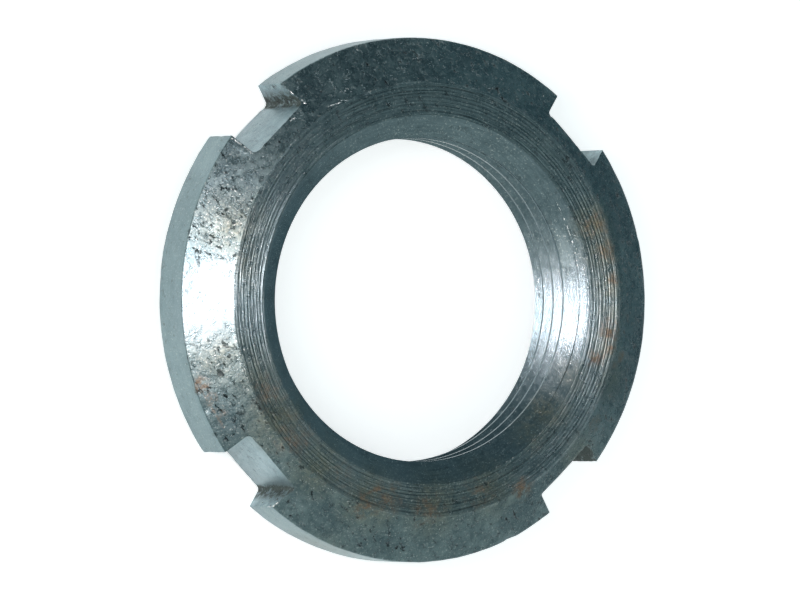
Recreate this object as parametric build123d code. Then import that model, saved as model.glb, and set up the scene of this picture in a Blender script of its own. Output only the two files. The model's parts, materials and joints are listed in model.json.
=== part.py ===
"""Slotted round nut for a fine-threaded shaft, tightened with a hook spanner.

The nut is turned from one piece of steel and then milled: a threaded bore with
a countersink at each face, a flat ring on each face, a 30 degree cone from the
ring out to the rim, and four flat-bottomed slots across the rim.
The nut lies on its back face. The origin is the centre of that face, +Z is the
thread's axis, and the slots are on the X and Y axes. Lengths are in millimetres.
"""
import os
from math import cos, radians, tan

from build123d import *

# The blank
OUTER_DIAMETER = 38.0
THICKNESS = 7.0
FRONT_RING_DIAMETER = 31.3
BACK_RING_DIAMETER = 32.9
CONE_ANGLE = 30.0
EDGE_ROUND = 0.12

# The thread, kept in the solid as the bore at its crests
THREAD_DIAMETER = 25.0
THREAD_PITCH = 1.5
THREAD_HEIGHT = THREAD_PITCH * cos(radians(30))
CREST_DIAMETER = THREAD_DIAMETER - 2 * 5 / 8 * THREAD_HEIGHT

# The countersinks
FRONT_COUNTERSINK_DIAMETER = 26.7
BACK_COUNTERSINK_DIAMETER = 26.4
COUNTERSINK_ANGLE = 45.0

# The slots
SLOT_COUNT = 4
SLOT_WIDTH = 5.4
SLOT_FLOOR_RADIUS = 16.9
SLOT_CORNER_RADIUS = 0.5
MILLING_CLEARANCE = 3.0


def cone_depth(ring_diameter):
    """Axial depth of the cone from a flat ring out to the rim."""
    return (OUTER_DIAMETER - ring_diameter) / 2 * tan(radians(CONE_ANGLE))


def countersink_depth(mouth_diameter):
    """Axial depth of a countersink from its mouth down to the thread's crests."""
    return (mouth_diameter - CREST_DIAMETER) / 2 / tan(radians(COUNTERSINK_ANGLE))


def half_section():
    """One side of the nut's section, from the bore out to the rim, in the XZ plane."""
    rim = OUTER_DIAMETER / 2
    bore = CREST_DIAMETER / 2
    corners = [
        (bore, countersink_depth(BACK_COUNTERSINK_DIAMETER)),
        (BACK_COUNTERSINK_DIAMETER / 2, 0),
        (BACK_RING_DIAMETER / 2, 0),
        (rim, cone_depth(BACK_RING_DIAMETER)),
        (rim, THICKNESS - cone_depth(FRONT_RING_DIAMETER)),
        (FRONT_RING_DIAMETER / 2, THICKNESS),
        (FRONT_COUNTERSINK_DIAMETER / 2, THICKNESS),
        (bore, THICKNESS - countersink_depth(FRONT_COUNTERSINK_DIAMETER)),
    ]
    section = make_face(Polyline(*corners, close=True))
    outer_corners = section.vertices().filter_by(lambda corner: corner.X > bore + 0.01)
    return fillet(outer_corners, EDGE_ROUND)


def turned_blank():
    """The blank as it comes off the lathe."""
    section = Plane.XZ * half_section()
    return revolve(section, Axis.Z)


def slot_cutter():
    """What one pass of the milling cutter takes away at +X."""
    length = OUTER_DIAMETER / 2 - SLOT_FLOOR_RADIUS + MILLING_CLEARANCE
    height = THICKNESS + 2 * MILLING_CLEARANCE
    outline = Rectangle(length, SLOT_WIDTH, align=(Align.MIN, Align.CENTER))
    floor_corners = outline.vertices().group_by(Axis.X)[0]
    outline = fillet(floor_corners, SLOT_CORNER_RADIUS)
    return Pos(SLOT_FLOOR_RADIUS, 0, -MILLING_CLEARANCE) * extrude(outline, height)


def slotted_nut():
    """The finished nut: the turned blank with its slots milled."""
    nut = turned_blank()
    for index in range(SLOT_COUNT):
        nut -= Rot(0, 0, 360 / SLOT_COUNT * index) * slot_cutter()
    return nut.solid()


os.makedirs("parts", exist_ok=True)
export_step(slotted_nut(), "parts/slotted_nut.step")
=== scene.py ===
import json
from math import atan2, cos, hypot, pi, radians, sin, tan

import bmesh
import bpy
from mathutils import Matrix, Vector, noise


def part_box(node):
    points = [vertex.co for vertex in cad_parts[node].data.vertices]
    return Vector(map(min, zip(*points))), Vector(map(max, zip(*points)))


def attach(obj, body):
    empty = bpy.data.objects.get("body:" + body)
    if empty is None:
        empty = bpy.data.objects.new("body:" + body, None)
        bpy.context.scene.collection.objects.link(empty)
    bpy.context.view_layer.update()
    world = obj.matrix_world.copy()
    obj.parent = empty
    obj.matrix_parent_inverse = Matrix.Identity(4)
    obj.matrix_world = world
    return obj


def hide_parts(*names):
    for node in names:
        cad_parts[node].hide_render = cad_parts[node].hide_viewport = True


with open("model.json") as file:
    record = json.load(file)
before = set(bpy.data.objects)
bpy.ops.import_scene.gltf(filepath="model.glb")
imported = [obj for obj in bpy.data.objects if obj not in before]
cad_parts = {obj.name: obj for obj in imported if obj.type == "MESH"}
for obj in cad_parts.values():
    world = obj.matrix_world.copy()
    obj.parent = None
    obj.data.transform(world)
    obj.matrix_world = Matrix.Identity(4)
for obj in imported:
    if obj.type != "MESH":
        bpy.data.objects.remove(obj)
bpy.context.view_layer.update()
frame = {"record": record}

# ---------------------------------------------------------------------------
# The turned blank
# A disc of medium-carbon steel, bored, faced and chamfered on a lathe. Its flat
# rings keep the marks of the facing tool, and its cones are at 30 degrees.
# ---------------------------------------------------------------------------
MM = 0.001
TURN_STEPS = 320

mounts = {mount["name"]: mount for mount in frame["record"]["mounts"]}
crest_radius = mounts["thread"]["dims"]["r_mm"] * MM
low, high = (Vector(corner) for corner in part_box("slotted_nut"))
back, front = low.z, high.z

slot_half_width = 2.7 * MM
rim_radius = hypot(high.x, slot_half_width)
cone_slope = tan(radians(30))
front_ring_radius = 15.65 * MM
back_ring_radius = 16.45 * MM
front_mouth_radius = 13.35 * MM
back_mouth_radius = 13.2 * MM
edge_round = 0.14 * MM
weld_distance = 0.001 * MM
turned_spacing = 0.3 * MM
bored_spacing = 0.5 * MM

# The facing tool was fed a quarter of a millimetre a turn. Its groove has one steep
# side, and the feed shook a little, so that no two rings are equally deep.
facing_pitch = 0.25 * MM
facing_depth = 0.042 * MM
facing_profile = (0, 0.35, 1, 0.65)
facing_least = 0.85
facing_shake = 0.15


def run(start, end, spacing):
    """Evenly spaced points on a straight run of the section, without its last point."""
    steps = max(1, round((end - start).length / spacing))
    return [start.lerp(end, step / steps) for step in range(steps)]


def faced(start, end, into):
    """A run of the section across a flat ring, with the facing tool's shallow rings."""
    steps = round((end - start).length / facing_pitch) * len(facing_profile)
    points = []
    for step in range(steps):
        depth = facing_profile[step % len(facing_profile)] * facing_depth
        uneven = facing_least + facing_shake * sin(step * 0.9)
        points.append(start.lerp(end, step / steps) + Vector((0, into * depth * uneven)))
    return points


def turned_section():
    """The nut's section as (radius, height) points, once round from the bore's foot."""
    # Each corner is given with how the surface after it was cut.
    outline = [
        (crest_radius, back + back_mouth_radius - crest_radius, "turned"),
        (back_mouth_radius, back, "faced"),
        (back_ring_radius, back, "turned"),
        (rim_radius, back + (rim_radius - back_ring_radius) * cone_slope, "turned"),
        (rim_radius, front - (rim_radius - front_ring_radius) * cone_slope, "turned"),
        (front_ring_radius, front, "faced"),
        (front_mouth_radius, front, "turned"),
        (crest_radius, front - (front_mouth_radius - crest_radius) * cone_slope, "bored"),
    ]
    corners = [Vector((radius, height)) for radius, height, surface in outline]
    points = []
    for index, corner in enumerate(corners):
        before = corners[index - 1]
        after = corners[(index + 1) % len(corners)]
        enter = corner + (before - corner).normalized() * edge_round
        leave = corner + (after - corner).normalized() * edge_round
        next_enter = after + (corner - after).normalized() * edge_round
        for part in (0, 1 / 3, 2 / 3):
            points.append(enter.lerp(corner, part).lerp(corner.lerp(leave, part), part))
        surface = outline[index][2]
        if surface == "faced":
            points += faced(leave, next_enter, 1 if corner.y < (back + front) / 2 else -1)
        else:
            spacing = bored_spacing if surface == "bored" else turned_spacing
            points += run(leave, next_enter, spacing)
    return points


def draw(name, points):
    """A new object whose one line runs through (radius, height) points, in edit mode."""
    bpy.ops.object.select_all(action="DESELECT")
    bpy.ops.mesh.primitive_plane_add(size=MM, location=(0, 0, 0))
    drawn = bpy.context.object
    drawn.name = name
    bpy.ops.object.mode_set(mode="EDIT")
    bpy.ops.mesh.merge(type="CENTER")
    bpy.ops.transform.translate(value=(points[0].x, 0, points[0].y))
    for here, there in zip(points, points[1:]):
        step = there - here
        move = {"value": (step.x, 0, step.y)}
        bpy.ops.mesh.extrude_vertices_move(TRANSFORM_OT_translate=move)
    bpy.ops.mesh.select_all(action="SELECT")
    return drawn


nut = draw("slotted_nut_worn", turned_section())
blank = bmesh.from_edit_mesh(nut.data)
blank.verts.ensure_lookup_table()
blank.edges.new((blank.verts[0], blank.verts[-1])).select = True
bmesh.update_edit_mesh(nut.data)
bpy.ops.mesh.select_all(action="SELECT")
bpy.ops.mesh.spin(steps=TURN_STEPS, angle=2 * pi, center=(0, 0, 0), axis=(0, 0, 1))
bpy.ops.mesh.select_all(action="SELECT")
bpy.ops.mesh.remove_doubles(threshold=weld_distance)
bpy.ops.mesh.normals_make_consistent(inside=False)
bpy.ops.object.mode_set(mode="OBJECT")

# Handling has left the cones and the rim slightly uneven, always below the turned size.
handled_part = nut.vertex_groups.new(name="handled")
outer_start = front_ring_radius + 0.1 * MM
outer = [v.index for v in nut.data.vertices if hypot(v.co.x, v.co.y) > outer_start]
handled_part.add(outer, 1.0, "REPLACE")
for size, depth in ((2.2, 0.05), (0.7, 0.03)):
    texture = bpy.data.textures.new("handling", "CLOUDS")
    texture.noise_scale = size * MM
    texture.noise_depth = 1
    uneven = nut.modifiers.new("uneven", "DISPLACE")
    uneven.texture = texture
    uneven.vertex_group = "handled"
    uneven.mid_level = 1.0
    uneven.strength = depth * MM
    bpy.ops.object.modifier_apply(modifier=uneven.name)
nut.vertex_groups.clear()

# ---------------------------------------------------------------------------
# The thread
# A right-hand M25 x 1.5 thread, cut with a single-point tool that runs in and
# out through the countersinks, so that its first turns fade into their cones.
# ---------------------------------------------------------------------------
THREAD_PITCH = 1.5 * MM
THREAD_TURNS = 8
THREAD_STEPS = 160
root_radius = 12.65 * MM
root_half_width = THREAD_PITCH / 16
tool_foot = crest_radius - 0.1 * MM
tool_half_width = root_half_width + (root_radius - tool_foot) * tan(radians(30))
# The groove passes this height above the back at this bearing.
groove_bearing = radians(-43.5)
groove_height = 0.58 * MM
thread_start = back + groove_height - 2 * THREAD_PITCH

tool_outline = [
    (tool_foot, -tool_half_width),
    (root_radius, -root_half_width),
    (root_radius, root_half_width),
    (tool_foot, tool_half_width),
]
tool = draw("thread_cutter", [Vector(corner) for corner in tool_outline])
bpy.ops.mesh.edge_face_add()
bpy.ops.mesh.select_all(action="SELECT")
bpy.ops.transform.translate(value=(0, 0, thread_start))
bpy.ops.mesh.delete(type="ONLY_FACE")
bpy.ops.object.mode_set(mode="OBJECT")
helix = tool.modifiers.new("helix", "SCREW")
helix.axis = "Z"
helix.angle = 2 * pi
helix.screw_offset = THREAD_PITCH
helix.iterations = THREAD_TURNS
helix.steps = THREAD_STEPS
helix.render_steps = THREAD_STEPS
helix.use_smooth_shade = False
bpy.ops.object.modifier_apply(modifier=helix.name)
bpy.ops.object.mode_set(mode="EDIT")
bpy.ops.mesh.select_all(action="SELECT")
bpy.ops.mesh.remove_doubles(threshold=weld_distance)
bpy.ops.mesh.select_all(action="DESELECT")
bpy.ops.mesh.select_mode(type="EDGE")
bpy.ops.mesh.select_non_manifold()
bpy.ops.mesh.fill_holes(sides=0)
bpy.ops.mesh.select_all(action="SELECT")
bpy.ops.mesh.normals_make_consistent(inside=False)
bpy.ops.object.mode_set(mode="OBJECT")
tool.data.transform(Matrix.Rotation(groove_bearing, 4, "Z"))


def cut(body, cutter):
    """Cuts one solid out of another and throws the cutter away."""
    bpy.ops.object.select_all(action="DESELECT")
    bpy.context.view_layer.objects.active = body
    difference = body.modifiers.new("cut", "BOOLEAN")
    difference.operation = "DIFFERENCE"
    difference.solver = "EXACT"
    difference.object = cutter
    bpy.ops.object.modifier_apply(modifier=difference.name)
    bpy.data.objects.remove(cutter)


cut(nut, tool)

# ---------------------------------------------------------------------------
# The four slots
# Each is milled straight through the rim for the tooth of a hook spanner, with a
# flat floor and small corner radii. Its edges are broken and a little bruised.
# ---------------------------------------------------------------------------
SLOT_COUNT = 4
slot_floor_radius = 16.9 * MM
slot_corner_radius = 0.3 * MM
slot_edge_break = 0.1 * MM
sharp_edge = radians(25)
touching = 0.01 * MM
cutter_overrun = 3 * MM
cutter_length = rim_radius - slot_floor_radius + cutter_overrun
cutter_place = (slot_floor_radius + cutter_length / 2, 0, (back + front) / 2)

bpy.ops.object.select_all(action="DESELECT")
cutters = []
for index in range(SLOT_COUNT):
    bpy.ops.mesh.primitive_cube_add(size=1, location=cutter_place)
    cutter = bpy.context.object
    cutter.scale = (cutter_length, 2 * slot_half_width, front - back + 2 * cutter_overrun)
    bpy.ops.object.transform_apply(location=True, rotation=True, scale=True)
    bpy.ops.object.mode_set(mode="EDIT")
    bpy.ops.mesh.select_all(action="DESELECT")
    shape = bmesh.from_edit_mesh(cutter.data)
    for edge in shape.edges:
        upright = abs(edge.verts[0].co.z - edge.verts[1].co.z) > cutter_overrun
        edge.select = upright and edge.verts[0].co.x < rim_radius - MM
    bmesh.update_edit_mesh(cutter.data)
    bpy.ops.mesh.bevel(offset=slot_corner_radius, segments=5, affect="EDGES")
    bpy.ops.object.mode_set(mode="OBJECT")
    cutter.data.transform(Matrix.Rotation(2 * pi * index / SLOT_COUNT, 4, "Z"))
    cutters.append(cutter)
bpy.ops.object.select_all(action="DESELECT")
for cutter in cutters:
    cutter.select_set(True)
bpy.context.view_layer.objects.active = cutters[0]
bpy.ops.object.join()
cut(nut, cutters[0])


def slot_place(point):
    """Where a point lies in its nearest slot: outwards along it, and across it."""
    quarter = round(atan2(point.y, point.x) / (pi / 2)) * pi / 2
    turned = Matrix.Rotation(-quarter, 3, "Z") @ point
    return turned.x, turned.y


def on_slot(point, margin):
    """Whether a point lies on a slot's wall or floor."""
    along, across = slot_place(point)
    if along < slot_floor_radius - margin or abs(across) > slot_half_width + margin:
        return False
    on_wall = abs(abs(across) - slot_half_width) < margin
    return on_wall or along < slot_floor_radius + slot_corner_radius + margin


bpy.ops.object.select_all(action="DESELECT")
nut.select_set(True)
bpy.context.view_layer.objects.active = nut
bpy.ops.object.mode_set(mode="EDIT")
bpy.ops.mesh.select_mode(type="EDGE")
bpy.ops.mesh.select_all(action="DESELECT")
milled = bmesh.from_edit_mesh(nut.data)
for edge in milled.edges:
    if len(edge.link_faces) == 2 and edge.calc_face_angle(0) > sharp_edge:
        edge.select = all(on_slot(vert.co, touching) for vert in edge.verts)
bmesh.update_edit_mesh(nut.data)
bpy.ops.mesh.bevel(offset=slot_edge_break, segments=2, affect="EDGES", clamp_overlap=True)
bpy.ops.mesh.select_all(action="SELECT")
bpy.ops.mesh.remove_doubles(threshold=weld_distance / 2)
bpy.ops.object.mode_set(mode="OBJECT")

# ---------------------------------------------------------------------------
# Dents, burrs and bruises from use
# A dropped nut dents at its edges, and a spanner that slips raises a burr beside
# each nick. A burr stands proud, so its depth is below nought.
# ---------------------------------------------------------------------------


def polar(angle, radius, height):
    """A place on the nut, from an angle in degrees, and a radius and height in mm."""
    return Vector((radius * cos(radians(angle)), radius * sin(radians(angle)), height)) * MM


# Angle, radius and height, then width and depth, in degrees and millimetres.
dents = [
    (99.2, 18.7, 5.25, 0.35, -0.10),
    (99.0, 18.2, 5.53, 0.30, -0.13),
    (99.1, 17.8, 5.77, 0.32, -0.09),
    (99.3, 17.4, 6.00, 0.30, -0.12),
    (66.0, 15.7, 7.0, 0.55, 0.22),
    (58.0, 15.8, 7.0, 0.40, 0.14),
    (93.0, 18.5, 5.4, 0.60, 0.16),
    (121.0, 17.6, 5.9, 0.45, 0.10),
    (161.0, 18.8, 5.2, 0.50, 0.12),
    (200.0, 18.8, 5.1, 0.55, 0.14),
    (20.0, 18.6, 5.3, 0.50, 0.14),
    (331.0, 18.7, 5.2, 0.45, 0.10),
    (250.0, 18.8, 5.0, 0.60, 0.12),
]
for angle, radius, height, width, depth in dents:
    middle = polar(angle, radius, height)
    blow = -Vector((middle.x, middle.y, 0)).normalized() * 0.5 - Vector((0, 0, 0.8))
    for vert in nut.data.vertices:
        away = (vert.co - middle).length / (width * MM)
        if away < 1:
            vert.co += blow * (1 - away * away) ** 2 * depth * MM

bruise_reach = 0.14 * MM
bruise_depth = 0.09 * MM
for vert in nut.data.vertices:
    if on_slot(vert.co, bruise_reach) and hypot(vert.co.x, vert.co.y) > slot_floor_radius:
        bruise = noise.noise(vert.co / (0.45 * MM)) + 0.5 * noise.noise(vert.co / (0.16 * MM))
        inwards = Vector((-vert.co.x, -vert.co.y, 0)).normalized()
        vert.co += inwards * max(0, bruise) * bruise_depth

bpy.ops.object.select_all(action="DESELECT")
nut.select_set(True)
bpy.context.view_layer.objects.active = nut
smooth_below = radians(32)
bpy.ops.object.shade_smooth_by_angle(angle=smooth_below)

# ---------------------------------------------------------------------------
# The steel
# Bare medium-carbon steel, turned and milled, gone blue-grey with a thin oxide.
# It is glossy where handled, and lighter where painted highlight is laid with the handling; pitted
# and stained; rusty where damp has stood; and grimy, with painted shade, in the slots.
# ---------------------------------------------------------------------------


def linear(colour):
    """The linear colour of an sRGB hex value."""
    channels = [int(colour[index:index + 2], 16) / 255 for index in (1, 3, 5)]
    straight = [c / 12.92 if c <= 0.04045 else ((c + 0.055) / 1.055) ** 2.4 for c in channels]
    return (*straight, 1.0)


def add(tree, kind, inputs, **settings):
    """Adds a node with its settings, values and links, and gives its outputs."""
    made = tree.nodes.new("ShaderNode" + kind)
    for name, value in settings.items():
        setattr(made, name, value)
    for socket, value in inputs.items():
        if isinstance(value, bpy.types.NodeSocket):
            tree.links.new(value, made.inputs[socket])
        else:
            made.inputs[socket].default_value = value
    return made.outputs


# Where the burr of the thread's first turn and the knocks have left bare metal: both
# ends of each line as angle, radius and height, then how far it reaches and how strongly.
scratches = [
    ((98.6, 18.85, 5.1), (98.9, 18.0, 5.6), 0.10, 1.0),
    ((98.9, 17.9, 5.7), (99.4, 17.2, 6.1), 0.08, 0.9),
    ((76.5, 16.0, 6.8), (73.0, 15.8, 6.9), 0.08, 1.0),
    ((72.5, 15.9, 6.85), (71.0, 15.75, 6.95), 0.06, 0.8),
    ((66.0, 15.8, 6.9), (63.5, 15.7, 7.0), 0.07, 0.8),
    ((188.3, 17.1, 6.2), (188.3, 18.4, 5.4), 0.05, 0.7),
    ((171.7, 17.4, 6.0), (171.7, 18.6, 5.2), 0.05, 0.6),
    ((188.3, 18.9, 5.12), (188.4, 18.4, 5.42), 0.14, 1.0),
    ((188.2, 19.0, 5.0), (188.1, 18.97, 4.3), 0.12, 1.0),
    ((80.6, 17.3, 6.05), (80.5, 17.0, 6.2), 0.10, 1.0),
    ((81.3, 18.2, 5.5), (81.2, 17.9, 5.7), 0.07, 0.9),
    ((86.5, 16.75, 6.35), (84.5, 16.7, 6.4), 0.07, 0.9),
    ((327.0, 12.70, 6.60), (329.5, 12.72, 6.62), 0.035, 0.9),
    ((331.5, 12.72, 6.63), (332.2, 12.74, 6.64), 0.05, 1.0),
    ((335.5, 12.74, 6.65), (335.9, 12.75, 6.65), 0.06, 1.0),
    ((338.0, 12.75, 6.65), (341.5, 12.77, 6.66), 0.03, 0.9),
    ((343.5, 12.78, 6.67), (343.9, 12.79, 6.68), 0.06, 1.0),
    ((347.0, 12.80, 6.68), (350.0, 12.82, 6.69), 0.03, 0.8),
    ((353.0, 12.83, 6.70), (353.3, 12.84, 6.70), 0.05, 0.8),
]
# Rust that has run along a line, given in the same way.
rust_streaks = [
    ((154.5, 18.7, 5.2), (161.0, 18.5, 5.35), 0.30, 0.55),
    ((160.0, 18.5, 5.35), (166.5, 18.3, 5.45), 0.24, 0.6),
    ((205.0, 15.3, 7.0), (209.5, 14.2, 7.0), 0.55, 0.8),
]
# Grime caked along the feet of the slots' walls, with painted shade in those corners and over the
# whole slot wall at 279 degrees, given in the same way.
grime_and_shade_lines = [
    ((278.6, 18.4, 2.0), (278.6, 17.6, 6.0), 3.0, 2.6),
    ((81.2, 17.15, 0.5), (81.2, 17.15, 6.2), 1.5, 1.3),
    ((188.9, 17.15, 0.5), (188.9, 17.15, 6.2), 1.3, 1.3),
]
# Where rust has started: angle, radius and height, then how far it reaches and how strongly.
rust_spots = [
    (156.0, 18.6, 5.3, 1.0, 1.0),
    (159.5, 18.3, 5.5, 0.9, 0.7),
    (163.0, 18.0, 5.6, 0.8, 0.6),
    (164.0, 14.7, 7.0, 2.6, 0.55),
    (178.0, 14.8, 7.0, 3.0, 0.6),
    (197.0, 14.7, 7.0, 2.4, 0.45),
    (208.0, 15.6, 7.0, 2.0, 0.7),
    (213.0, 14.6, 7.0, 2.2, 0.75),
    (226.0, 15.2, 7.0, 2.4, 0.6),
    (242.0, 14.4, 7.0, 2.4, 0.5),
    (256.0, 15.9, 6.9, 1.5, 0.95),
    (338.0, 14.8, 7.0, 1.8, 0.75),
    (330.0, 15.2, 7.0, 1.6, 0.6),
    (322.0, 15.3, 7.0, 0.9, 0.75),
    (308.0, 15.2, 7.0, 1.5, 1.0),
    (303.5, 15.4, 7.0, 0.9, 0.9),
    (302.0, 16.8, 6.4, 1.0, 0.7),
    (299.0, 14.4, 7.0, 1.2, 0.9),
    (300.0, 16.2, 6.6, 0.9, 0.6),
    (284.0, 16.6, 6.4, 1.2, 0.6),
]
# Where handling has rubbed the steel smooth, and painted highlight: the same lighter steel is laid
# on the near cone and the far bore wall where the lamps' glare falls, and on the near countersink
# as painted reflected light.
rubbed_and_highlight_spots = [
    (139.0, 17.6, 6.0, 3.6, 1.0),
    (134.0, 16.9, 6.3, 3.2, 1.0),
    (306.0, 12.2, 6.3, 4.5, 1.0),
    (291.0, 12.0, 5.6, 3.8, 0.9),
    (322.0, 12.2, 5.0, 4.0, 0.9),
    (106.0, 12.6, 6.6, 2.6, 0.7),
    (118.0, 12.6, 6.6, 2.6, 0.8),
    (130.0, 12.6, 6.6, 2.6, 0.9),
    (142.0, 12.6, 6.6, 2.6, 0.9),
    (154.0, 12.6, 6.6, 2.6, 0.8),
    (166.0, 12.6, 6.6, 2.6, 0.6),
    (180.0, 12.8, 6.6, 3.6, 0.5),
    (197.0, 12.8, 6.6, 3.6, 0.5),
    (213.0, 12.8, 6.6, 3.6, 0.45),
]
# Where its pits crowd together.
pitted_spots = [
    (88.0, 16.6, 6.4, 0.9, 1.3),
    (86.0, 16.3, 6.6, 0.8, 1.2),
    (151.0, 17.2, 6.1, 2.6, 1.2),
    (160.0, 17.8, 5.8, 3.0, 1.3),
    (169.0, 17.2, 6.1, 2.4, 1.2),
    (104.0, 17.6, 6.0, 2.4, 0.9),
]
# Where it is tarnished a warm olive brown.
tarnish_spots = [
    (312.0, 14.9, 7.0, 2.0, 0.60),
    (304.0, 14.9, 7.0, 2.0, 0.85),
    (321.0, 14.8, 7.0, 2.0, 0.70),
    (330.0, 14.7, 7.0, 2.2, 0.85),
    (339.0, 14.7, 7.0, 2.2, 0.90),
    (278.0, 12.4, 6.5, 2.4, 0.85),
    (268.0, 12.7, 6.6, 2.0, 0.60),
    (291.0, 12.8, 6.7, 2.0, 0.70),
    (296.0, 16.4, 6.6, 2.2, 0.50),
    (158.0, 14.6, 7.0, 3.0, 0.50),
    (172.0, 14.6, 7.0, 3.4, 0.85),
    (190.0, 14.6, 7.0, 3.2, 0.80),
    (208.0, 14.8, 7.0, 3.4, 0.75),
    (205.0, 18.8, 3.0, 3.0, 0.45),
    (228.0, 14.6, 7.0, 3.4, 0.60),
    (246.0, 14.4, 7.0, 3.2, 0.55),
    (150.0, 17.0, 6.2, 3.0, 0.45),
    (118.0, 16.6, 6.5, 3.4, 0.50),
    (128.0, 15.2, 7.0, 2.4, 0.50),
    (275.0, 17.0, 6.2, 2.4, 0.50),
]


def near_spots(tree, place, spots):
    """How strongly the spots mark each place: fully at their middle, not past their reach."""
    found = 0.0
    for angle, radius, height, reach, strength in spots:
        middle = polar(angle, radius, height)
        away = add(tree, "VectorMath", {0: place, 1: middle}, operation="DISTANCE")["Value"]
        fade = {"Value": away, "From Max": reach * MM, "To Min": strength, "To Max": 0.0}
        near = add(tree, "MapRange", fade)[0]
        found = add(tree, "Math", {0: found, 1: near}, operation="MAXIMUM")[0]
    return found


def near_lines(tree, place, lines):
    """How strongly the lines mark each place: fully on them, not past their reach."""
    found = 0.0
    for start, end, reach, strength in lines:
        first = polar(*start)
        span = polar(*end) - first
        gauge = span / span.length_squared
        offset = add(tree, "VectorMath", {0: place, 1: first}, operation="SUBTRACT")["Vector"]
        share = add(tree, "VectorMath", {0: offset, 1: gauge}, operation="DOT_PRODUCT")["Value"]
        share = add(tree, "MapRange", {"Value": share})[0]
        foot = add(tree, "VectorMath", {0: span, "Scale": share}, operation="SCALE")["Vector"]
        away = add(tree, "VectorMath", {0: offset, 1: foot}, operation="DISTANCE")["Value"]
        fade = {"Value": away, "From Max": reach * MM, "To Min": strength, "To Max": 0.0}
        near = add(tree, "MapRange", fade)[0]
        found = add(tree, "Math", {0: found, 1: near}, operation="MAXIMUM")[0]
    return found


# The real sizes of the patterns in the oxide. The grain of the steel itself is finer
# than it can be seen, so it is drawn as coarse as it needs to be to show.
patch_size = 3.0 * MM
mottle_size = 0.55 * MM
grain_size = 0.16 * MM
rubbed_size = 0.13 * MM
streak_size = 1.1 * MM
streak_circle = 9.0 * MM
streak_squeeze = 6.0
feed_circle = 3.0 * MM
feed_squeeze = 14.0
grime_and_shade_size = 0.8 * MM
pit_crowd_size = 2.4 * MM
pit_size = 0.36 * MM
pit_stretch = (1.0, 0.55, 0.8)
fine_pit_size = 0.17 * MM
rust_size = 0.6 * MM

# How much of the oxide handling takes off, where painted highlight is also laid; how rough grime,
# its painted shade and rust are; and how deep each mark is beside the oxide's own relief.
handled_and_highlight_share = 0.62
dull_roughness = 0.7
pit_weight = 0.9
burr_weight = 0.4
feed_weight = 3.8

# The colours that lie over the oxide in every finish.
olive_dark, olive_light = linear("#4a4d3b"), linear("#827f66")
# The darker colour drawn into the facing tool's valleys.
facing_valley_dark = linear("#1d2a2e")
# The lighter steel beneath the oxide, also laid on as painted highlight.
handled_and_highlight_steel = linear("#84949a")
rubbed_steel = linear("#c3cac6")
# The grime's colours, also laid on as painted shade in the slots.
grime_and_shade_dark, grime_and_shade_light = linear("#1d2a2b"), linear("#41524c")
pit_floor = linear("#121a1d")
rust_dark, rust_light = linear("#3b3329"), linear("#735d40")
bare_steel = linear("#dfe3e2")


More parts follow.
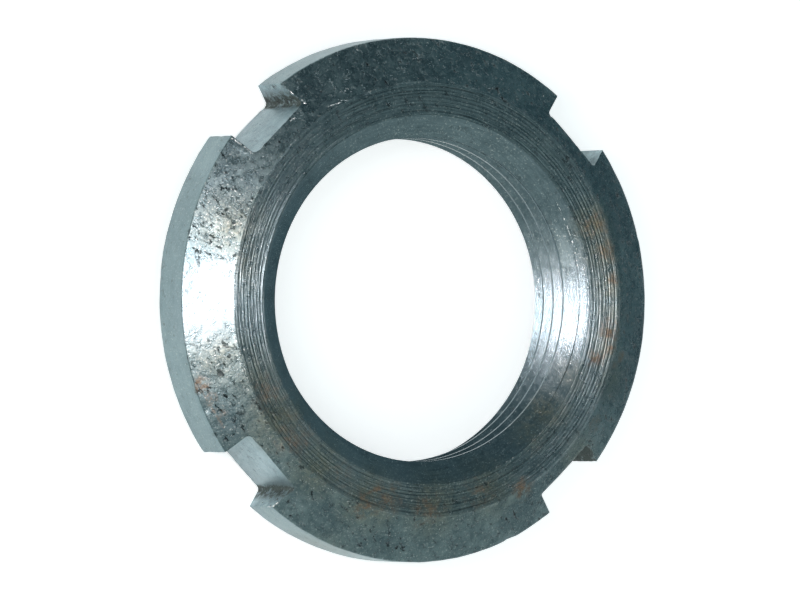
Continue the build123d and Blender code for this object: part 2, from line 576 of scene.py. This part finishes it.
def steel(name, dark, light, roughness, relief, pits, streaks=0.0, facing=0.0, grime_and_shade=0.0,
          corners_only=False):
    """A worn steel finish, its relief in millimetres.

    Pits, streaks, facing and grime say how much of each it has; the grime is also painted shade.
    """
    material = bpy.data.materials.new(name)
    material.use_nodes = True
    tree = material.node_tree
    tree.nodes.clear()

    place = add(tree, "TexCoord", {})["Object"]
    x, y, z = add(tree, "SeparateXYZ", {0: place})
    flat = add(tree, "CombineXYZ", {0: x, 1: y})[0]
    radius = add(tree, "VectorMath", {0: flat}, operation="LENGTH")["Value"]
    bearing = add(tree, "VectorMath", {0: flat}, operation="NORMALIZE")["Vector"]
    bearing_x, bearing_y = add(tree, "SeparateXYZ", {0: bearing})[:2]

    # Turning marks run round the axis: long round it, and short across it.
    long_x = add(tree, "Math", {0: bearing_x, 1: streak_circle}, operation="MULTIPLY")[0]
    long_y = add(tree, "Math", {0: bearing_y, 1: streak_circle}, operation="MULTIPLY")[0]
    outwards = add(tree, "Math", {0: radius, 1: streak_squeeze}, operation="MULTIPLY")[0]
    upwards = add(tree, "Math", {0: z, 1: streak_squeeze}, operation="MULTIPLY")[0]
    short = add(tree, "Math", {0: outwards, 1: upwards}, operation="ADD")[0]
    turning = add(tree, "CombineXYZ", {0: long_x, 1: long_y, 2: short})[0]
    streak = add(tree, "TexNoise", {
        "Vector": turning, "Scale": 1 / streak_size, "Detail": 4.0, "Roughness": 0.7})["Fac"]

    # The oxide is thicker in some patches than in others, down to the grain.
    patches = add(tree, "TexNoise", {
        "Vector": place, "Scale": 1 / patch_size, "Detail": 5.0, "Roughness": 0.6})["Fac"]
    mottle = add(tree, "TexNoise", {
        "Vector": place, "Scale": 1 / mottle_size, "Detail": 5.0, "Roughness": 0.75})["Fac"]
    grain = add(tree, "TexNoise", {
        "Vector": place, "Scale": 1 / grain_size, "Detail": 3.0, "Roughness": 0.7})["Fac"]
    tone = add(tree, "Mix", {0: 0.5, 2: patches, 3: mottle}, data_type="FLOAT")[0]
    tone = add(tree, "Mix", {0: streaks, 2: tone, 3: streak}, data_type="FLOAT")[0]
    share = add(tree, "MapRange", {"Value": tone, "From Min": 0.35, "From Max": 0.65})[0]
    colour = add(tree, "Mix", {0: share, 6: linear(dark), 7: linear(light)}, data_type="RGBA")[2]

    # A thin olive tarnish lies over it in places.
    broken = add(tree, "MapRange", {
        "Value": mottle, "From Min": 0.36, "From Max": 0.62, "To Min": 0.25})[0]
    stain = near_spots(tree, place, tarnish_spots)
    stain = add(tree, "Math", {0: stain, 1: broken}, operation="MULTIPLY")[0]
    speckle = add(tree, "MapRange", {"Value": grain, "From Min": 0.36, "From Max": 0.64})[0]
    olive = add(tree, "Mix", {0: speckle, 6: olive_dark, 7: olive_light}, data_type="RGBA")[2]
    colour = add(tree, "Mix", {0: stain, 6: colour, 7: olive}, data_type="RGBA")[2]

    # The valleys left by the facing tool are drawn darker, mottled by the grain.
    if facing:
        valley = add(tree, "MapRange", {
            "Value": z, "From Min": front - facing_depth, "From Max": front - 0.1 * facing_depth,
            "To Min": 1.0, "To Max": 0.0})[0]
        valley_darkening = add(tree, "MapRange", {
            "Value": grain, "From Min": 0.35, "From Max": 0.62, "To Min": 0.2 * facing,
            "To Max": facing})[0]
        valley_darkening = add(tree, "Math", {0: valley, 1: valley_darkening}, operation="MULTIPLY")[0]
        colour = add(tree, "Mix", {0: valley_darkening, 6: colour, 7: facing_valley_dark}, data_type="RGBA")[2]

    # Where it is handled, the oxide is rubbed off and the steel beneath shows; the same spots also
    # paint highlight and reflected light where the lamps' glare falls.
    handled = near_spots(tree, place, rubbed_and_highlight_spots)
    share = add(tree, "Math", {0: handled, 1: handled_and_highlight_share}, operation="MULTIPLY")[0]
    colour = add(tree, "Mix", {0: share, 6: colour, 7: handled_and_highlight_steel}, data_type="RGBA")[2]

    # The high points of the grain are rubbed bright.
    high_points = add(tree, "TexNoise", {
        "Vector": place, "Scale": 1 / rubbed_size, "Detail": 2.0, "Roughness": 0.6})["Fac"]
    share = add(tree, "MapRange", {
        "Value": high_points, "From Min": 0.58, "From Max": 0.72, "To Max": 0.45})[0]
    colour = add(tree, "Mix", {0: share, 6: colour, 7: rubbed_steel}, data_type="RGBA")[2]

    # Grime is caked at the feet of the slots' walls, and thinly on the walls, more of it deeper in
    # the slot; it is also painted shade in those corners and on the wall at 279 degrees.
    caked_and_shaded = 0.0
    if grime_and_shade:
        film_and_shade = add(tree, "TexNoise", {
            "Vector": place, "Scale": 1 / grime_and_shade_size, "Detail": 5.0, "Roughness": 0.7})["Fac"]
        film_and_shade = add(tree, "MapRange", {"Value": film_and_shade, "From Min": 0.44, "From Max": 0.58})[0]
        deeper = add(tree, "MapRange", {
            "Value": radius, "From Min": slot_floor_radius, "From Max": rim_radius,
            "To Min": grime_and_shade, "To Max": 0.5 * grime_and_shade})[0]
        film_and_shade = add(tree, "Math", {0: film_and_shade, 1: deeper}, operation="MULTIPLY")[0]
        foot = near_lines(tree, place, grime_and_shade_lines)
        if corners_only:
            foot = add(tree, "MapRange", {
                "Value": foot, "From Min": 0.85, "From Max": 1.15, "To Max": 0.96})[0]
        ragged = add(tree, "MapRange", {
            "Value": mottle, "From Min": 0.40, "From Max": 0.54, "To Min": 0.25, "To Max": 1.5})[0]
        foot = add(tree, "Math", {0: foot, 1: ragged}, operation="MULTIPLY")[0]
        caked_and_shaded = add(tree, "Math", {0: film_and_shade, 1: foot}, operation="MAXIMUM")[0]
        soil_and_shade = add(tree, "Mix", {0: speckle, 6: grime_and_shade_dark, 7: grime_and_shade_light}, data_type="RGBA")[2]
        colour = add(tree, "Mix", {0: caked_and_shaded, 6: colour, 7: soil_and_shade}, data_type="RGBA")[2]

    # Pits are ragged dark hollows, crowded together in places and rare where rubbed.
    crowd = add(tree, "TexNoise", {
        "Vector": place, "Scale": 1 / pit_crowd_size, "Detail": 3.0, "Roughness": 0.6})["Fac"]
    crowd = add(tree, "MapRange", {
        "Value": crowd, "From Min": 0.38, "From Max": 0.58, "To Min": 0.35})[0]
    spared = add(tree, "MapRange", {
        "Value": handled, "From Max": 0.6, "To Min": 1.0, "To Max": 0.0})[0]
    crowd = add(tree, "Math", {0: crowd, 1: spared}, operation="MULTIPLY")[0]
    pitted = near_spots(tree, place, pitted_spots)
    crowd = add(tree, "Math", {0: crowd, 1: pitted}, operation="MAXIMUM")[0]
    stretched = add(tree, "VectorMath", {0: place, 1: pit_stretch}, operation="MULTIPLY")["Vector"]
    hollow = add(tree, "TexNoise", {
        "Vector": stretched, "Scale": 1 / pit_size, "Detail": 5.0, "Roughness": 0.66})["Fac"]
    hollow = add(tree, "MapRange", {
        "Value": hollow, "From Min": 0.355, "From Max": 0.41, "To Min": 1.0, "To Max": 0.0})[0]
    fine = add(tree, "TexNoise", {
        "Vector": place, "Scale": 1 / fine_pit_size, "Detail": 3.0, "Roughness": 0.6})["Fac"]
    fine = add(tree, "MapRange", {
        "Value": fine, "From Min": 0.28, "From Max": 0.38, "To Min": 0.9, "To Max": 0.0})[0]
    hollow = add(tree, "Math", {0: hollow, 1: fine}, operation="MAXIMUM")[0]
    hollow = add(tree, "Math", {0: hollow, 1: crowd}, operation="MULTIPLY")[0]
    hollow = add(tree, "Math", {0: hollow, 1: pits}, operation="MULTIPLY")[0]
    colour = add(tree, "Mix", {0: hollow, 6: colour, 7: pit_floor}, data_type="RGBA")[2]

    # Rust creeps out from where it started, in ragged patches.
    creep = add(tree, "TexNoise", {
        "Vector": place, "Scale": 1 / rust_size, "Detail": 6.0, "Roughness": 0.75})["Fac"]
    creep = add(tree, "MapRange", {
        "Value": creep, "From Min": 0.38, "From Max": 0.66, "To Min": 0.15, "To Max": 1.9})[0]
    spots = near_spots(tree, place, rust_spots)
    runs = near_lines(tree, place, rust_streaks)
    rust = add(tree, "Math", {0: spots, 1: runs}, operation="MAXIMUM")[0]
    rust = add(tree, "Math", {0: rust, 1: creep}, operation="MULTIPLY")[0]
    rust = add(tree, "MapRange", {"Value": rust, "From Min": 0.22, "To Max": 0.8})[0]
    share = add(tree, "MapRange", {"Value": grain, "From Min": 0.35, "From Max": 0.65})[0]
    brown = add(tree, "Mix", {0: share, 6: rust_dark, 7: rust_light}, data_type="RGBA")[2]
    colour = add(tree, "Mix", {0: rust, 6: colour, 7: brown}, data_type="RGBA")[2]

    # Where it was knocked, the bare metal shows.
    flecks = add(tree, "MapRange", {
        "Value": grain, "From Min": 0.42, "From Max": 0.58, "To Min": 0.1, "To Max": 1.7})[0]
    bare = near_lines(tree, place, scratches)
    bare = add(tree, "Math", {0: bare, 1: flecks}, operation="MULTIPLY")[0]
    bare = add(tree, "MapRange", {"Value": bare, "From Min": 0.20, "From Max": 0.70})[0]
    colour = add(tree, "Mix", {0: bare, 6: colour, 7: bare_steel}, data_type="RGBA")[2]

    # Oxide mottles the gloss. Rust, and grime with its painted shade, are dull and hardly metal at
    # all.
    rough = add(tree, "MapRange", {
        "Value": mottle, "From Min": 0.3, "From Max": 0.7, "To Min": roughness - 0.07,
        "To Max": roughness + 0.09})[0]
    dull = add(tree, "Math", {0: caked_and_shaded, 1: 0.7}, operation="MULTIPLY")[0]
    dull = add(tree, "Math", {0: rust, 1: dull}, operation="MAXIMUM")[0]
    rough = add(tree, "Mix", {0: dull, 2: rough, 3: dull_roughness}, data_type="FLOAT")[0]
    covered = add(tree, "Math", {0: rust, 1: caked_and_shaded}, operation="MAXIMUM")[0]
    metal = add(tree, "MapRange", {"Value": covered, "To Min": 0.92, "To Max": 0.35})[0]

    # The relief that is too fine for the mesh.
    height = add(tree, "Mix", {0: 0.45, 2: mottle, 3: grain}, data_type="FLOAT")[0]
    sunk = add(tree, "Math", {0: hollow, 1: pit_weight}, operation="MULTIPLY")[0]
    height = add(tree, "Math", {0: height, 1: sunk}, operation="SUBTRACT")[0]
    raised = add(tree, "Math", {0: bare, 1: burr_weight}, operation="MULTIPLY")[0]
    height = add(tree, "Math", {0: height, 1: raised}, operation="ADD")[0]
    turned = add(tree, "Math", {0: streak, 1: streaks}, operation="MULTIPLY")[0]
    height = add(tree, "Math", {0: height, 1: turned}, operation="ADD")[0]
    if facing:
        long_x = add(tree, "Math", {0: bearing_x, 1: feed_circle}, operation="MULTIPLY")[0]
        long_y = add(tree, "Math", {0: bearing_y, 1: feed_circle}, operation="MULTIPLY")[0]
        short = add(tree, "Math", {0: radius, 1: feed_squeeze}, operation="MULTIPLY")[0]
        feed = add(tree, "CombineXYZ", {0: long_x, 1: long_y, 2: short})[0]
        feed = add(tree, "TexNoise", {
            "Vector": feed, "Scale": 1 / streak_size, "Detail": 2.0, "Roughness": 0.6})["Fac"]
        feed = add(tree, "Math", {0: feed, 1: feed_weight}, operation="MULTIPLY")[0]
        height = add(tree, "Math", {0: height, 1: feed}, operation="ADD")[0]
    bump = add(tree, "Bump", {"Height": height, "Strength": 1.0, "Distance": relief * MM})[0]

    shader = add(tree, "BsdfPrincipled", {
        "Base Color": colour, "Metallic": metal, "Roughness": rough, "Normal": bump})[0]
    add(tree, "OutputMaterial", {"Surface": shader})
    return material


finishes = {
    # Fine turned cones, the most exposed of all: pitted, and with the deepest oxide.
    "cone": steel("turned_steel_weathered_cone", "#3a4d53", "#6b7e80", roughness=0.28,
                  relief=0.045, pits=1.0, streaks=0.10),
    # The faced rings: dull and dark in the valleys, and bright along the tool's crests.
    "ring": steel("turned_steel_faced_ring", "#3d5056", "#687b7e", roughness=0.30,
                  relief=0.030, pits=0.6, streaks=0.35, facing=0.35),
    "back_ring": steel("turned_steel_faced_back", "#4a5c60", "#778889", roughness=0.32,
                       relief=0.030, pits=0.5, streaks=0.45),
    # The rim, cleaned by the spanner and by hands: pale, even and satin.
    "rim": steel("turned_steel_smooth_rim", "#657a7e", "#879b9e", roughness=0.40,
                 relief=0.025, pits=0.45, streaks=0.15),
    # The slots' floors, milled and still pale, with grime and painted shade along their corners.
    "slot": steel("milled_steel_slot", "#6e858a", "#98abb0", roughness=0.36,
                  relief=0.045, pits=0.5, streaks=0.05, grime_and_shade=0.12, corners_only=True),
    # The slots' walls, torn by the cutter's side: rough, streaky, and dirty with painted shade.
    "wall": steel("milled_steel_slot_wall", "#526b72", "#a6bfc4", roughness=0.36,
                  relief=0.14, pits=1.2, grime_and_shade=0.38),
    # The thread and its countersinks, cut last: the smoothest and the glossiest.
    "bore": steel("cut_steel_thread", "#485a60", "#6d7f84", roughness=0.20,
                  relief=0.014, pits=0.4, streaks=0.50),
}
nut.data.materials.clear()
order = list(finishes)
zone_margin = 0.05 * MM
for zone in order:
    nut.data.materials.append(finishes[zone])
for face in nut.data.polygons:
    centre = face.center
    radius = hypot(centre.x, centre.y)
    in_slot = on_slot(centre, zone_margin) and radius > slot_floor_radius - zone_margin
    if in_slot and abs(face.normal.z) < 0.4:
        along = slot_place(centre)[0]
        zone = "slot" if along < slot_floor_radius + 0.03 * MM else "wall"
    elif radius < front_mouth_radius - 0.02 * MM:
        zone = "bore"
    elif radius < front_ring_radius and centre.z > front - MM:
        zone = "ring"
    elif radius < back_ring_radius and centre.z < back + MM:
        zone = "back_ring"
    elif abs(face.normal.z) < 0.3:
        zone = "rim"
    else:
        zone = "cone"
    face.material_index = order.index(zone)

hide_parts("slotted_nut")
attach(nut, "root")

# ---------------------------------------------------------------------------
# The camera
# A long lens on a stand, that looks down on the nut from 28 degrees off upright
# and is turned a little on its own axis.
# ---------------------------------------------------------------------------
view_tilt = radians(27.83)
view_side = radians(137.87)
view_roll = radians(1.42)
camera_distance = 0.7926

up = Vector((0, 0, 1))
sideways = Vector((cos(view_side), sin(view_side), 0))
towards_camera = sideways * sin(view_tilt) + up * cos(view_tilt)
level_right = up * sin(view_tilt) - sideways * cos(view_tilt)
level_above = towards_camera.cross(level_right)
right = level_right * cos(view_roll) - level_above * sin(view_roll)
above = level_right * sin(view_roll) + level_above * cos(view_roll)

camera_data = bpy.data.cameras.new("camera")
camera_data.lens = 494.82
camera_data.sensor_width = 36
camera_data.clip_start = 0.01
camera = bpy.data.objects.new("camera", camera_data)
bpy.context.scene.collection.objects.link(camera)
aim = Vector((0, 0, front)) - right * 2.06 * MM - above * 0.04 * MM
turn = Matrix((right, above, towards_camera)).transposed().to_4x4()
camera.matrix_world = Matrix.Translation(aim + towards_camera * camera_distance) @ turn
bpy.context.scene.camera = camera

# ---------------------------------------------------------------------------
# The table
# A matt white top. It is pure white to the eye and in the steel's reflections,
# and lights the nut no more than white paint does.
# ---------------------------------------------------------------------------
table_glow = 0.62

bpy.ops.object.select_all(action="DESELECT")
bpy.ops.mesh.primitive_circle_add(vertices=96, radius=1.2, fill_type="NGON", location=(0, 0, back))
table = bpy.context.object
table.name = "table"
white = bpy.data.materials.new("matt_white_table")
white.use_nodes = True
tree = white.node_tree
tree.nodes.clear()
path = add(tree, "LightPath", {})
seen = add(tree, "Math", {
    0: path["Is Camera Ray"], 1: path["Is Glossy Ray"]}, operation="MAXIMUM")[0]
seen = add(tree, "Math", {0: seen, 1: path["Is Transmission Ray"]}, operation="MAXIMUM")[0]
level = add(tree, "Math", {0: seen, 1: table_glow}, operation="MULTIPLY")[0]
matt = add(tree, "BsdfDiffuse", {"Color": linear("#f2f2f2")})[0]
glow = add(tree, "Emission", {"Color": linear("#ffffff"), "Strength": level})[0]
both = add(tree, "AddShader", {0: matt, 1: glow})[0]
add(tree, "OutputMaterial", {"Surface": both})
table.data.materials.append(white)

# ---------------------------------------------------------------------------
# The lamps
# One softbox beside the camera lights the nut. Three more are only seen in the
# steel, as the glare of a real softbox's bright middle, its edge and the room's.
# ---------------------------------------------------------------------------


def softbox(name, elevation, side, distance, width, height, strength, colour):
    """An area lamp aimed at the nut, side in degrees from the camera's own side.

    Its sizes and distance are in metres, and its strength in watts a square metre.
    """
    data = bpy.data.lights.new(name, "AREA")
    data.shape = "RECTANGLE"
    data.size = width
    data.size_y = height
    data.energy = strength * width * height
    data.color = linear(colour)[:3]
    lamp = bpy.data.objects.new(name, data)
    bpy.context.scene.collection.objects.link(lamp)
    bearing = view_side + radians(side)
    flat = cos(radians(elevation))
    away = Vector((cos(bearing) * flat, sin(bearing) * flat, sin(radians(elevation))))
    lamp.location = away * distance
    lamp.rotation_euler = away.to_track_quat("Z", "Y").to_euler()
    return lamp


softbox("key", 44, -9, 0.40, 0.08, 0.22, 24.0, "#ffffff")
for glint in (
    softbox("key_glint", 44, -9, 0.40, 0.10, 0.22, 160.0, "#ffe6e8"),
    softbox("wide_glint", 44, 2, 0.45, 0.46, 0.26, 4.4, "#ffeee2"),
    softbox("low_glint", 26, -38, 0.40, 0.20, 0.16, 8.0, "#fff0e6"),
):
    glint.visible_diffuse = False

# ---------------------------------------------------------------------------
# The dark card
# A strip of blue-grey card, stood on the table close behind the nut. It is only
# seen reflected in the steel, and keeps the table's glare off the far cone.
# ---------------------------------------------------------------------------
card_bearing = view_side + pi + radians(22)
card_distance = 0.032
card_height = 0.008

outwards = Vector((cos(card_bearing), sin(card_bearing), 0))
card_place = outwards * card_distance + up * card_height
bpy.ops.object.select_all(action="DESELECT")
bpy.ops.mesh.primitive_plane_add(size=1, location=card_place)
card = bpy.context.object
card.name = "dark_card"
card.rotation_euler = outwards.to_track_quat("Z", "Y").to_euler()
card.scale = (0.072, 0.016, 1)
blue_grey = bpy.data.materials.new("blue_grey_card")
blue_grey.use_nodes = True
tree = blue_grey.node_tree
tree.nodes.clear()
shade = add(tree, "Emission", {"Color": linear("#86aab4"), "Strength": 0.70})[0]
add(tree, "OutputMaterial", {"Surface": shade})
card.data.materials.append(blue_grey)
card.visible_camera = False
card.visible_diffuse = False
card.visible_shadow = False

# ---------------------------------------------------------------------------
# The room
# A plain pale room, dimmer and bluer beyond the nut than on the near side.
# ---------------------------------------------------------------------------
world = bpy.data.worlds.new("studio")
world.use_nodes = True
bpy.context.scene.world = world
tree = world.node_tree
tree.nodes.clear()
sky = add(tree, "TexCoord", {})["Generated"]
near_side = up * 0.25 - above
nearer = add(tree, "VectorMath", {0: sky, 1: near_side}, operation="DOT_PRODUCT")["Value"]
glow = add(tree, "MapRange", {
    "Value": nearer, "From Min": -1.0, "To Min": 0.26, "To Max": 1.15})[0]
share = add(tree, "MapRange", {"Value": nearer, "From Min": -1.0})[0]
far_tint, near_tint = linear("#9fc4d0"), linear("#d8e0dd")
tint = add(tree, "Mix", {0: share, 6: far_tint, 7: near_tint}, data_type="RGBA")[2]
back_drop = add(tree, "Background", {"Color": tint, "Strength": glow})[0]
add(tree, "OutputWorld", {"Surface": back_drop})

bpy.context.scene.view_settings.view_transform = "Standard"
